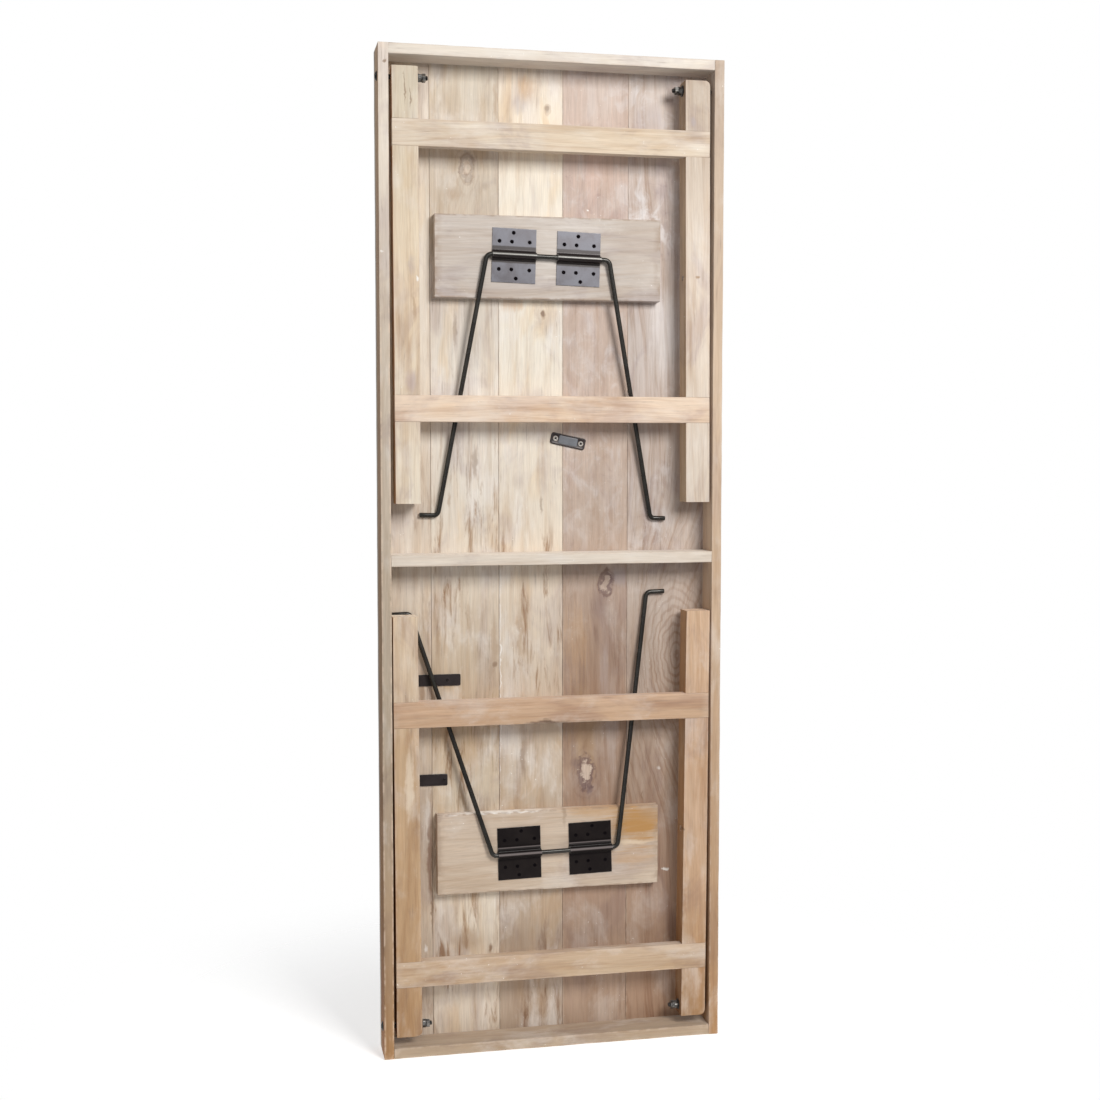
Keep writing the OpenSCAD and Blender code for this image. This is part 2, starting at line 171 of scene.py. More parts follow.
def wood(name, axis, stops, seed, low, high, pith=(0.02, 0.09), tilt=0.012, ring_gap=0.005, figure=0.5,
         streak=1.0, patch=1.0, lime=0.3, honey=0.0, cloud=0.0, flecks=0.4, spalt=0.0, spots=(), knots=(),
         edge=0.35, edge_tint=(0.62, 0.50, 0.40), flank=None):
    """Pale, worn, limed wood.

    stops: colours from the piece's low end to its high end, mostly darker and warmer on the low pieces
    pith, tilt, ring_gap, figure: where the growth lines centre, how they lean, their gap and strength
    streak, patch, lime, honey, cloud, flecks, spalt: strengths of the grain's bands and stains
    spots: (place, size, tint, amount); knots: (place, size, depth of the heart)
    flank: colour multiplied on the side facing -X: painted shading of that side, partly the raw wood's brown
    """
    n = Nodes(name)
    co = n.scaled(n.co, (1, 1, 1), (seed * 0.37, seed * 0.61, seed * 0.83))

    def grain(stretch, scale, offset=(0, 0, 0), **look):
        """Noise drawn out along the grain."""
        return n.noise(n.scaled(co, along(axis, stretch), offset), scale, **look)

    fibre = grain(0.03, 950.0, detail=2.0, rough=0.6)
    fleck = grain(0.05, 330.0, detail=4.0, rough=0.62, distort=0.4)
    band = grain(0.10, 34.0, detail=4.0, rough=0.6, distort=0.8)
    blotch = grain(0.45, 13.0, detail=4.0, rough=0.6, distort=1.0)
    milk = grain(0.50, 17.0, (5, 2, 7), detail=5.0, rough=0.62, distort=0.3)
    place = n.make("ShaderNodeSeparateXYZ")
    n.put(place.inputs[0], n.co)
    up = n.math("DIVIDE", n.math("SUBTRACT", place.outputs[2], low), high - low)
    colour = n.ramp(up, [(k / (len(stops) - 1), stop) for k, stop in enumerate(stops)])

    # growth lines round a pith that runs beside the piece and leans a little
    i = AXIS[axis]
    lean = [0.0, 0.0, 0.0]
    lean[(i + 1) % 3] = tilt
    lean[(i + 2) % 3] = -tilt * 0.6
    cross = []
    for k, centre in zip(((i + 1) % 3, (i + 2) % 3), pith):
        value = n.math("SUBTRACT", place.outputs[k], centre)
        cross.append(n.math("MULTIPLY_ADD", place.outputs[i], lean[k], value))
    radius = n.math("SQRT", n.math("ADD", n.product(cross[0], cross[0]), n.product(cross[1], cross[1])))
    wobble = grain(0.3, 8.0, detail=3.0)
    radius = n.math("MULTIPLY_ADD", wobble, RING_WOBBLE, radius)
    ragged = n.vmath("SUBTRACT", n.noise(co, 55.0, detail=4.0, output="Color"), (0.5, 0.5, 0.5))
    warped = n.vmath("ADD", n.co, n.vmath("MULTIPLY", ragged, (RAGGEDNESS, RAGGEDNESS, RAGGEDNESS)))

    # the swirl of growth lines round each knot, and the knots that show a heart
    eye, hearts = None, []
    for at, size, depth in knots:
        d = n.vmath("LENGTH", n.vmath("MULTIPLY", n.vmath("SUBTRACT", warped, at), along(axis, 0.5)))
        radius = n.math("MULTIPLY_ADD", n.span(d, 0.0, size * 5.0, 1, 0), size * 2.2, radius)
        waves = n.math("SINE", n.math("DIVIDE", n.math("MULTIPLY_ADD", wobble, SWIRL_WOBBLE, d), SWIRL_GAP))
        waves = n.product(n.span(waves, -0.2, 1.0), n.span(d, size * 0.6, size * 3.0, 1, 0))
        eye = waves if eye is None else n.math("MAXIMUM", eye, waves)
        if depth:
            hearts.append((d, size, depth))
    thread = n.make("ShaderNodeCombineXYZ")
    n.put(thread.inputs[0], n.math("DIVIDE", radius, ring_gap))
    n.put(thread.inputs[1], n.product(place.outputs[i], 3.0))
    thread.inputs[2].default_value = seed * 1.3
    late = n.span(n.noise(thread.outputs[0], 1.0, detail=4.0, rough=0.7), 0.44, 0.66)

    # soft stains, liming and fine fibres over the colour from the stops
    colour = n.mix(n.span(band, 0.44, 0.74, 0, 0.85 * streak), colour, (0.84, 0.77, 0.70), "MULTIPLY")
    colour = n.mix(n.span(band, 0.50, 0.28, 0, 0.55 * streak), colour, (1.08, 1.07, 1.05), "MULTIPLY")
    colour = n.mix(n.span(blotch, 0.48, 0.68, 0, 0.90 * patch), colour, (0.84, 0.82, 0.86), "MULTIPLY")
    warm = grain(0.30, 15.0, (3, 1, 2), detail=3.0, rough=0.55, distort=1.0)
    colour = n.mix(n.span(warm, 0.50, 0.68, 0, honey), colour, (0.92, 0.74, 0.50), "MULTIPLY")
    colour = n.mix(n.product(late, 0.55 * figure), colour, (0.80, 0.72, 0.66), "MULTIPLY")
    colour = n.mix(n.product(n.span(milk, 0.48, 0.70), lime), colour, (0.80, 0.76, 0.72))
    if cloud:
        curl = grain(0.7, 30.0, (1, 6, 4), detail=6.0, rough=0.66, distort=0.7)
        gather = n.span(grain(0.5, 8.0), 0.36, 0.56)
        gather = n.product(gather, n.span(place.outputs[2], 0.70, 1.05))
        pale = n.product(n.span(curl, 0.46, 0.66), gather)
        colour = n.mix(n.product(pale, cloud), colour, (0.70, 0.66, 0.65))
        dark = n.product(n.span(curl, 0.42, 0.28), gather)
        colour = n.mix(n.product(dark, cloud), colour, (0.62, 0.54, 0.57), "MULTIPLY")
    if spalt:
        vein = grain(0.13, 62.0, (8, 3, 5), detail=5.0, rough=0.68, distort=0.5)
        where = n.span(grain(0.35, 9.0, (2, 9, 6)), 0.42, 0.60)
        where = n.product(where, n.span(place.outputs[2], 1.25, 0.80, 0.25, 1.0))
        vein = n.product(n.span(vein, 0.50, 0.68), where)
        colour = n.mix(n.product(vein, spalt), colour, (0.48, 0.34, 0.24), "MULTIPLY")
    tone = n.math("MULTIPLY_ADD", n.around(fibre, 0.5), 0.24, 1.0)
    tone = n.math("MULTIPLY_ADD", n.around(fleck, 0.5), -0.34, tone)
    colour = n.mix(1.0, colour, n.grey(tone), "MULTIPLY")
    gathered = n.product(n.span(fleck, 0.58, 0.72), n.span(blotch, 0.46, 0.58))
    colour = n.mix(n.product(gathered, flecks), colour, (0.28, 0.20, 0.15))
    if eye is not None:
        colour = n.mix(n.product(eye, 0.60), colour, (0.70, 0.61, 0.55), "MULTIPLY")
    lively = n.span(band, 0.40, 0.60, 1.0, 0.70)
    for at, size, tint, amount in spots:
        d = n.vmath("LENGTH", n.vmath("DIVIDE", n.vmath("SUBTRACT", warped, at), size))
        d = n.math("MULTIPLY_ADD", n.around(fleck, 0.5), 1.1, d)
        d = n.math("MULTIPLY_ADD", n.around(band, 0.5), 1.2, d)
        colour = n.mix(n.product(n.span(d, 0.30, 1.10, amount, 0), lively), colour, tint)
    for d, size, depth in hearts:
        if size < PIN_KNOT:
            colour = n.mix(n.span(d, size * 0.45, size * 1.1, depth, 0), colour, (0.20, 0.12, 0.08))
            continue
        torn = n.around(n.noise(co, 90.0, detail=4.0, rough=0.65), 0.5)
        torn = n.math("MULTIPLY_ADD", torn, size * 2.6, d)
        dark = n.span(n.math("ABSOLUTE", n.around(torn, size)), size * 0.12, size * 0.50, depth, 0)
        core = n.span(torn, size * 0.6, size * 0.9, depth * 0.9, 0)
        core = n.product(core, n.span(fleck, 0.35, 0.60, 1.0, 0.55))
        colour = n.mix(core, colour, (0.66, 0.53, 0.43))
        dark = n.product(dark, n.span(fleck, 0.25, 0.60, 0.95, 0.55))
        colour = n.mix(dark, colour, (0.15, 0.09, 0.085))
    # painted shading: the side facing -X is tinted by its direction for how it is lit, partly the raw wood's brown
    if flank:
        normal = n.make("ShaderNodeTexCoord").outputs["Normal"]
        facing = n.vmath("DOT_PRODUCT", normal, (-1, 0, 0))
        colour = n.mix(n.span(facing, 0.5, 0.9), colour, flank, "MULTIPLY")
    # edge wear; on the hinge boards its dark tint is painted shade on the rounded edges, over the wear
    worn = n.product(n.attribute("edge"), n.span(n.noise(co, 60.0, detail=3.0), 0.38, 0.62))
    colour = n.mix(n.product(worn, edge), colour, edge_tint)
    chalk = n.product(n.span(n.noise(co, 260.0), 0.735, 0.76), n.span(milk, 0.50, 0.58))
    colour = n.mix(n.product(chalk, 0.8), colour, (0.90, 0.88, 0.85))
    n.put(n.bsdf.inputs["Base Color"], colour)
    rough = n.math("MULTIPLY_ADD", fibre, 0.22, 0.50)
    n.put(n.bsdf.inputs["Roughness"], n.math("MULTIPLY_ADD", milk, 0.18, rough))
    n.bsdf.inputs["Specular IOR Level"].default_value = 0.30
    relief = n.math("MULTIPLY_ADD", fleck, -0.9, n.product(fibre, 0.6))
    relief = n.math("MULTIPLY_ADD", late, -0.5 * figure, relief)
    relief = n.math("MULTIPLY_ADD", blotch, 1.2, relief)
    n.bump(relief, strength=0.55, distance=0.0004)
    return n.mat


def steel(name, base, tint, metallic, rough, seed, grain=0.0, wear=0.3, wear_colour=(0.42, 0.40, 0.38),
          bump=0.5, channel=None, lip=0.0, dark_parts=None, shine=0.5):
    """Blackened or plated steel: uneven film, fine pitting, brighter rubbed edges.

    channel: (joint, half width, colour, crest) colours the pressed channel along a joint's axis dark, a painted
    shade for the shade and dark reflection in its hollow, and lightens its crest, a painted highlight over
    rubbed metal. lip: height above the axis of an upper bend that gets a painted highlight too. dark_parts: colour
    where the mesh's "dark" attribute is 1.
    """
    n = Nodes(name)
    co = n.scaled(n.co, (1, 1, 1), (seed * 0.7, seed * 0.3, seed * 0.9))
    cloud = n.noise(co, 28.0, detail=4.0, rough=0.6, distort=0.6)
    fine = n.noise(co, 900.0, rough=0.6)
    brushed = n.noise(n.scaled(co, along("x", 0.04)), 1400.0, rough=0.6)
    colour = n.mix(n.span(cloud, 0.30, 0.70), base, tint)
    if channel:
        joint, half, dark, crest = channel
        axis = Vector(JOINTS[joint]["axis"]).normalized()
        across = axis.cross(Vector((0, 1, 0))).normalized()
        across *= math.copysign(1, across.z)
        side = n.vmath("DOT_PRODUCT", n.vmath("SUBTRACT", n.co, JOINTS[joint]["pos_m"]), tuple(across))
        # painted shade: the channel's hollow is coloured dark for the shade and dark reflection in it
        d = n.math("ABSOLUTE", n.around(side, CHANNEL_SHIFT))
        d = n.math("MULTIPLY_ADD", n.around(cloud, 0.5), 0.002, d)
        colour = n.mix(n.span(d, half * 0.92, half * 1.08, 1, 0), colour, dark)
        # painted highlight along the crest, over rubbed metal
        d = n.math("ABSOLUTE", n.around(side, CREST_SHIFT))
        colour = n.mix(n.span(d, 0.0005, 0.0028, 0.85, 0), colour, crest)
        if lip:
            # painted highlight along the upper bend
            d = n.math("ABSOLUTE", n.around(side, lip))
            colour = n.mix(n.span(d, 0.0004, 0.0016, 0.8, 0), colour, crest)
    tone = n.math("MULTIPLY_ADD", n.around(fine, 0.5), 0.30, 1.0)
    tone = n.math("MULTIPLY_ADD", n.around(brushed, 0.5), grain, tone)
    colour = n.mix(1.0, colour, n.grey(tone), "MULTIPLY")
    rubbed = n.product(n.attribute("edge"), n.span(n.noise(co, 160.0, detail=3.0), 0.38, 0.62))
    colour = n.mix(n.product(rubbed, wear), colour, wear_colour)
    if dark_parts:
        colour = n.mix(n.attribute("dark"), colour, dark_parts)
    n.put(n.bsdf.inputs["Base Color"], colour)
    n.bsdf.inputs["Metallic"].default_value = metallic
    n.bsdf.inputs["Specular IOR Level"].default_value = shine
    gloss = n.math("MULTIPLY_ADD", n.around(cloud, 0.5), 0.20, rough)
    gloss = n.math("MULTIPLY_ADD", n.around(brushed, 0.5), 0.25 * grain, gloss)
    n.put(n.bsdf.inputs["Roughness"], n.math("MAXIMUM", gloss, 0.12))
    n.bump(n.math("MULTIPLY_ADD", fine, 0.5, cloud), strength=bump, distance=0.00012)
    return n.mat


# ---------- mesh tools ----------


def publish(name, bm, mat, nodes, body, sharp, weighted=False):
    """Turns a bmesh into a piece that stands for CAD nodes and rides on their body. sharp: degrees."""
    bmesh.ops.recalc_face_normals(bm, faces=bm.faces)
    mesh = bpy.data.meshes.new(name)
    bm.to_mesh(mesh)
    bm.free()
    for poly in mesh.polygons:
        poly.use_smooth = True
    mesh.set_sharp_from_angle(angle=math.radians(sharp))
    mesh.materials.append(mat)
    piece = bpy.data.objects.new(name, mesh)
    bpy.context.scene.collection.objects.link(piece)
    if weighted:
        piece.modifiers.new("weighted", "WEIGHTED_NORMAL").keep_sharp = True
    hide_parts(*nodes)
    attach(piece, body)


def from_node(node):
    """Copy of a CAD node's mesh, with its flat faces whole again."""
    bm = bmesh.new()
    bm.from_mesh(NODES[node].data)
    bmesh.ops.remove_doubles(bm, verts=bm.verts, dist=2e-6)
    bmesh.ops.dissolve_limit(bm, angle_limit=math.radians(0.6), verts=bm.verts, edges=bm.edges)
    return bm


def is_sharp(edge, degrees):
    return len(edge.link_faces) == 2 and edge.calc_face_angle(0.0) > math.radians(degrees)


def bevel(bm, edges, width, segments=3):
    if edges:
        bmesh.ops.bevel(bm, geom=edges, offset=width, offset_type="OFFSET", segments=segments,
                        profile=0.5, affect="EDGES", clamp_overlap=True)


def cut(bm, normal, at):
    """Cuts every face along a plane at a distance from the origin."""
    bmesh.ops.bisect_plane(bm, geom=bm.verts[:] + bm.edges[:] + bm.faces[:], dist=1e-6,
                           plane_co=normal * at, plane_no=normal)


def mark_edges(bm):
    """Writes 1 on vertices where the surface turns, for wear in the material."""
    layer = bm.verts.layers.float.new("edge")
    for v in bm.verts:
        normals = [f.normal for f in v.link_faces]
        turn = max((normals[0].angle(m, 0.0) for m in normals[1:]), default=0.0)
        v[layer] = float(turn > math.radians(4))
    return layer


GRID = 14 * MM  # spacing of the cuts that let a wooden face wave
BORDER = 2.5  # mm from a rounded edge to the cut beside it


def wooden(node, axis, mat, seed, long_r, end_r, wave, wear, shear):
    """A wooden CAD piece with eased, worn edges and a hand-finished surface.

    long_r, end_r: radii along and across the grain; wave, wear: how far faces and edges wander (all
    in mm). shear: lean of a leg, undone while its mesh is cut.
    """
    bm = from_node(node)
    i = AXIS[axis]

    def slant(edge):
        return abs((edge.verts[1].co - edge.verts[0].co).normalized().dot(UNIT[axis]))

    straight = [e for e in bm.edges if is_sharp(e, 40) and e.calc_length() > 6 * MM]
    bevel(bm, [e for e in straight if slant(e) > 0.98], long_r * MM)
    ends = [e for e in bm.edges if is_sharp(e, 40) and e.calc_length() > 5 * MM and slant(e) < 0.5]
    bevel(bm, ends, end_r * MM, 2)
    lo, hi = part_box(node)
    middle = (lo + hi) / 2
    if shear:
        for v in bm.verts:
            v.co.x -= shear * (v.co.z - middle.z)
        lo, hi = lo.copy(), hi.copy()
        slip = abs(shear) * (hi.z - lo.z) / 2
        lo.x, hi.x = lo.x + slip, hi.x - slip
    for name, k in AXIS.items():
        size = hi[k] - lo[k]
        count = round(size / GRID)
        for s in range(1, count):
            cut(bm, UNIT[name], lo[k] + size * s / count)
        near = (long_r + BORDER) * MM
        if k != i and size > 3 * near:
            cut(bm, UNIT[name], lo[k] + near)
            cut(bm, UNIT[name], hi[k] - near)
    bm.normal_update()
    layer = mark_edges(bm)
    shift = Vector((seed * 3.1, seed * 1.7, seed * 2.3))
    squeeze = Vector((1, 1, 1))
    squeeze[i] = 0.35
    moves = []
    for v in bm.verts:
        p = Vector(v.co[k] * squeeze[k] for k in range(3))
        broad = noise.noise(p * 22 + shift)
        small = noise.noise(p * 110 + shift)
        move = v.normal * ((broad * 0.75 + small * 0.25) * wave * MM)
        if v[layer] > 0.5:
            chew = max(0.0, noise.noise(p * 55 - shift) + 0.15)
            chew += max(0.0, noise.noise(p * 210 + shift) - 0.1)
            move -= v.normal * (chew * wear * MM)
        moves.append(move)
    for v, move in zip(bm.verts, moves):
        v.co += move
    if shear:
        for v in bm.verts:
            v.co.x += shear * (v.co.z - middle.z)
    publish("wood_" + node, bm, mat, [node], BODY_OF[node], 50, weighted=True)


def pressed(node, mat, width, turn=0.0):
    """A sheet or bar from its CAD shape with softened edges, worn along its outline.

    width: of the softened edges (mm). turn: degrees that square its outline with X and Z; cuts beside
    the outline keep the worn rim narrow.
    """
    inset, rim = 1.1 * MM, 0.45 * MM
    bm = from_node(node)
    bevel(bm, [e for e in bm.edges if is_sharp(e, 38)], width * MM, 2)
    turned = Matrix.Rotation(math.radians(turn), 3, "Y")
    for k in (0, 2):
        reach = [(turned @ v.co)[k] for v in bm.verts]
        for at in (min(reach) + inset, max(reach) - inset):
            cut(bm, turned.transposed().col[k], at)
    layer = bm.verts.layers.float.new("edge")
    flat = {v: turned @ v.co for v in bm.verts}
    for k in (0, 2):
        near, far = min(c[k] for c in flat.values()), max(c[k] for c in flat.values())
        for v, c in flat.items():
            if c[k] < near + rim or c[k] > far - rim:
                v[layer] = 1.0
    publish("steel_" + node, bm, mat, [node], BODY_OF[node], 30, weighted=True)


def angles(count):
    return (2 * math.pi * k / count for k in range(count))


def circle(bm, place, r, z, segments):
    """Ring of vertices at a height, or one vertex where the radius is 0."""
    if r == 0:
        return [bm.verts.new(place @ Vector((0, 0, z)))]
    return [bm.verts.new(place @ Vector((r * math.cos(a), r * math.sin(a), z))) for a in angles(segments)]


def revolve(bm, profile, place, segments=32):
    """Adds a turned shape. profile: (radius, height) points; radius 0 closes it to a point."""
    rings = [circle(bm, place, r, z, segments) for r, z in profile]
    skin(bm, rings)
    return rings


def skin(bm, rings):
    """Joins each ring to the next one."""
    for low, high in zip(rings, rings[1:]):
        n = max(len(low), len(high))
        for k in range(n):
            if len(low) == 1:
                bm.faces.new((low[0], high[(k + 1) % n], high[k]))
            elif len(high) == 1:
                bm.faces.new((low[k], low[(k + 1) % n], high[0]))
            else:
                bm.faces.new((low[k], low[(k + 1) % n], high[(k + 1) % n], high[k]))


def screw_head(bm, place, r, top, rim, depth, slot_r, slot_w, shank_r, shank, pan):
    """Cross-head screw; gives back its recess floor. place: +z points out of the head, its seat at z = 0."""
    segments = 32
    profile = [(0, -shank), (shank_r * 0.5, -shank * 0.97), (shank_r, -shank * 0.8), (shank_r, -rim)]
    profile += [(r * 0.98, 0.0), (r, 0.1 * MM)]
    if pan:
        profile += [(r * 0.96, top * 0.55), (r * 0.80, top * 0.88)]
    rings = revolve(bm, profile, place, segments)
    outer = circle(bm, place, slot_r * 1.25 if pan else r * 0.93, top, segments)
    skin(bm, [rings[-1], outer])
    cross = []
    for q in range(4):
        a = q * math.pi / 2
        for x, y in ((slot_r, -slot_w), (slot_r, slot_w), (slot_w * 1.25, slot_w * 1.25)):
            cross.append((x * math.cos(a) - y * math.sin(a), x * math.sin(a) + y * math.cos(a)))
    brim = [bm.verts.new(place @ Vector((x, y, top))) for x, y in cross]
    floor = [bm.verts.new(place @ Vector((x * 0.55, y * 0.55, top - depth))) for x, y in cross]
    edges = [bm.edges.get((a, b)) or bm.edges.new((a, b)) for a, b in zip(outer, outer[1:] + outer[:1])]
    edges += [bm.edges.new((a, b)) for a, b in zip(brim, brim[1:] + brim[:1])]
    bmesh.ops.triangle_fill(bm, use_beauty=True, use_dissolve=False, edges=edges)
    skin(bm, [brim, floor])
    bm.faces.new(floor)
    return floor


def toward(normal, at, spin=0.0):
    """Matrix at a point with +z along the normal."""
    turn = Vector(normal).to_track_quat("Z", "Y").to_matrix().to_4x4()
    return Matrix.Translation(at) @ turn @ Matrix.Rotation(spin, 4, "Z")


def islands(node):
    """Boxes of a node's separate solids, sorted from top left."""
    bm = from_node(node)
    left, found = set(bm.verts), []
    while left:
        stack, group = [left.pop()], []
        while stack:
            v = stack.pop()
            group.append(v.co.copy())
            for e in v.link_edges:
                w = e.other_vert(v)
                if w in left:
                    left.discard(w)
                    stack.append(w)
        found.append((Vector(min(c[k] for c in group) for k in range(3)),
                      Vector(max(c[k] for c in group) for k in range(3))))
    bm.free()
    return sorted(found, key=lambda b: (-round(b[0].z, 3), round(b[0].x, 3)))


def tidy_normals(bm):
    bmesh.ops.recalc_face_normals(bm, faces=bm.faces)
    bm.normal_update()
    mark_edges(bm)


# ---------- wooden pieces ----------

STAIN = (0.40, 0.27, 0.17)
BROWN = (0.26, 0.17, 0.11)
HONEY = (0.50, 0.285, 0.12)
WHITE = (0.90, 0.87, 0.83)
GREY = (0.42, 0.37, 0.38)
PINK = (0.66, 0.46, 0.38)
MAUVE = (0.17, 0.11, 0.11)
AMBER = (0.46, 0.25, 0.09)


def dressed(node, axis, stops, seed, mesh=(1.3, 0.5, 0.25, 0.6), shear=0.0, **look):
    """A wooden piece: its reworked mesh and its own wood. mesh: see wooden()."""
    lo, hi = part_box(node)
    mat = wood("wood_" + node, axis, stops, seed, lo.z, hi.z, **look)
    wooden(node, axis, mat, seed, *mesh, shear)


def mark(y, x, z, wide, tall, tint, amount):
    """A stain on the face at depth y (metres; sizes in mm)."""
    return ((x, y, z), (wide * MM, 0.03, tall * MM), tint, amount)


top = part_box("plank_3")[0].y
PALE_PLANK = (0.6, 0.8, 0.30, 0.35)
DARK_PLANK = (0.4, 0.8, 0.30, 0.35)
dressed("plank_1", "z", [(0.66, 0.57, 0.47), (0.55, 0.45, 0.35), (0.70, 0.62, 0.53),
                         (0.74, 0.68, 0.60), (0.68, 0.60, 0.50)],
        1, PALE_PLANK, honey=0.3, lime=0.5, spalt=0.6,
        spots=[mark(top, -0.218, 0.168, 4, 8, WHITE, 0.9),
               mark(top, -0.214, 0.400, 6, 50, WHITE, 0.35),
               mark(top, -0.2100, 0.335, 6, 80, (0.22, 0.12, 0.08), 0.8),
               mark(top, -0.2070, 0.300, 2.5, 110, BROWN, 0.8)])
dressed("plank_2", "z", [(0.66, 0.57, 0.47), (0.71, 0.63, 0.52), (0.56, 0.44, 0.31), (0.72, 0.64, 0.54),
                         (0.77, 0.72, 0.65), (0.58, 0.50, 0.41), (0.66, 0.60, 0.51)],
        2, PALE_PLANK, honey=0.4, lime=0.5, spalt=1.0, knots=[((-0.142, top, 1.512), 0.010, 0.45)],
        spots=[mark(top, -0.166, 1.469, 20, 14, STAIN, 0.5),
               mark(top, -0.109, 1.483, 6, 10, BROWN, 0.3),
               # a darker brown band beside the joint to plank 3, at its top end
               mark(top, -0.092, 1.627, 5, 50, STAIN, 0.5),
               mark(top, -0.163, 1.239, 4, 30, BROWN, 0.45),
               mark(top, -0.129, 1.014, 5, 25, BROWN, 0.5),
               mark(top, -0.194, 0.702, 5, 50, STAIN, 0.6),
               mark(top, -0.096, 0.706, 8, 60, STAIN, 0.6),
               mark(top, -0.096, 0.663, 5, 7, BROWN, 0.9),
               mark(top, -0.137, 0.507, 20, 50, HONEY, 0.3),
               mark(top, -0.145, 0.180, 30, 25, STAIN, 0.55),
               mark(top, -0.104, 0.164, 5, 9, BROWN, 0.9),
               mark(top, -0.174, 0.949, 3, 20, STAIN, 0.5),
               mark(top, -0.2035, 0.340, 4, 80, BROWN, 0.7),
               mark(top, -0.192, 0.235, 9, 35, WHITE, 0.4)])
dressed("plank_3", "z", [(0.42, 0.32, 0.24), (0.50, 0.40, 0.31), (0.60, 0.49, 0.38), (0.75, 0.66, 0.55),
                         (0.79, 0.73, 0.63), (0.81, 0.75, 0.65), (0.80, 0.71, 0.59)],
        3, PALE_PLANK, honey=0.4, lime=0.5, spalt=1.0,
        knots=[((-0.010, top, 1.269), 0.0045, 0.8), ((-0.004, top, 1.615), 0.004, 0.6)],
        spots=[mark(top, -0.038, 1.648, 20, 30, HONEY, 0.55),
               mark(top, -0.050, 1.622, 14, 20, GREY, 0.5),
               mark(top, -0.066, 1.285, 24, 18, HONEY, 0.6),
               mark(top, -0.013, 0.940, 3, 20, BROWN, 0.6),
               mark(top, -0.051, 0.723, 6, 70, STAIN, 0.6),
               mark(top, -0.030, 0.500, 10, 45, WHITE, 0.5),
               mark(top, -0.045, 0.503, 7, 50, BROWN, 0.6),
               mark(top, -0.0862, 0.600, 1.6, 260, WHITE, 0.8)])
dressed("plank_4", "z", [(0.42, 0.30, 0.22), (0.38, 0.26, 0.19), (0.37, 0.25, 0.18), (0.47, 0.36, 0.29),
                         (0.55, 0.44, 0.37), (0.55, 0.43, 0.37), (0.58, 0.47, 0.41)],
        4, DARK_PLANK, cloud=0.4, lime=0.2, spalt=0.35,
        knots=[((0.068, top, 0.465), 0.012, 1.0), ((0.103, top, 0.802), 0.009, 0.9)],
        spots=[mark(top, 0.081, 1.517, 35, 70, PINK, 0.35),
               mark(top, 0.088, 0.765, 18, 40, MAUVE, 0.35),
               mark(top, 0.105, 0.805, 16, 22, MAUVE, 0.4),
               mark(top, 0.128, 0.814, 20, 16, GREY, 0.4),
               mark(top, 0.052, 0.484, 14, 12, MAUVE, 0.7),
               mark(top, 0.074, 0.437, 8, 12, MAUVE, 0.7),
               mark(top, 0.066, 0.545, 38, 100, (0.40, 0.27, 0.15), 0.50),
               mark(top, 0.112, 0.560, 18, 130, (0.52, 0.47, 0.45), 0.35),
               mark(top, 0.055, 0.700, 30, 60, HONEY, 0.30),
               mark(top, 0.100, 0.640, 14, 60, GREY, 0.30),
               mark(top, 0.069, 1.448, 2.5, 2.5, WHITE, 0.9)])
dressed("plank_5", "z", [(0.38, 0.25, 0.17), (0.37, 0.25, 0.18), (0.45, 0.35, 0.28), (0.53, 0.44, 0.38),
                         (0.56, 0.49, 0.45), (0.57, 0.49, 0.45), (0.61, 0.53, 0.48)],
        5, DARK_PLANK, cloud=1.0, lime=0.2, spalt=0.3, figure=1.8, patch=1.3, tilt=0.03,
        pith=(0.03, 0.22), knots=[((0.232, top, 0.672), 0.034, 0.0)],
        spots=[mark(top, 0.208, 1.245, 30, 100, (0.80, 0.77, 0.76), 0.5),
               mark(top, 0.179, 1.606, 30, 30, GREY, 0.4),
               mark(top, 0.170, 0.421, 1.6, 12, BROWN, 0.9),
               mark(top, 0.214, 0.287, 8, 3, WHITE, 0.8),
               mark(top, 0.200, 0.472, 5, 4, WHITE, 0.6)])

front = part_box("side_rail_left")[0].y
# painted light: the left rail's outer face, facing -X (flank), gets a warmer tint for the light on it
dressed("side_rail_left", "z",
        [(0.32, 0.175, 0.075), (0.45, 0.37, 0.28), (0.57, 0.49, 0.40), (0.78, 0.70, 0.60)], 11,
        flank=(1.05, 0.80, 0.60), edge=0.5, edge_tint=(0.78, 0.61, 0.47),
        spots=[mark(front, -0.285, 1.67, 3, 4, BROWN, 0.8),
               mark(front, -0.291, 1.36, 3, 3, WHITE, 0.9),
               mark(front, -0.296, 0.20, 9, 40, BROWN, 0.6)])
dressed("side_rail_right", "z",
        [(0.40, 0.235, 0.115), (0.58, 0.42, 0.29), (0.64, 0.50, 0.37), (0.47, 0.37, 0.29)], 12)
dressed("end_rail_top", "x", [(0.70, 0.63, 0.55), (0.72, 0.66, 0.58)], 13)
dressed("end_rail_bottom", "x", [(0.39, 0.30, 0.21), (0.41, 0.31, 0.22)], 14)
dressed("centre_batten", "x", [(0.70, 0.62, 0.53), (0.72, 0.64, 0.55)], 15)

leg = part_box("leg_upper_left")[0].y
LEG_MESH = (1.8, 0.45, 0.2, 0.7)
LEG_LOOK = {"figure": 0.9, "streak": 1.4, "patch": 1.3}
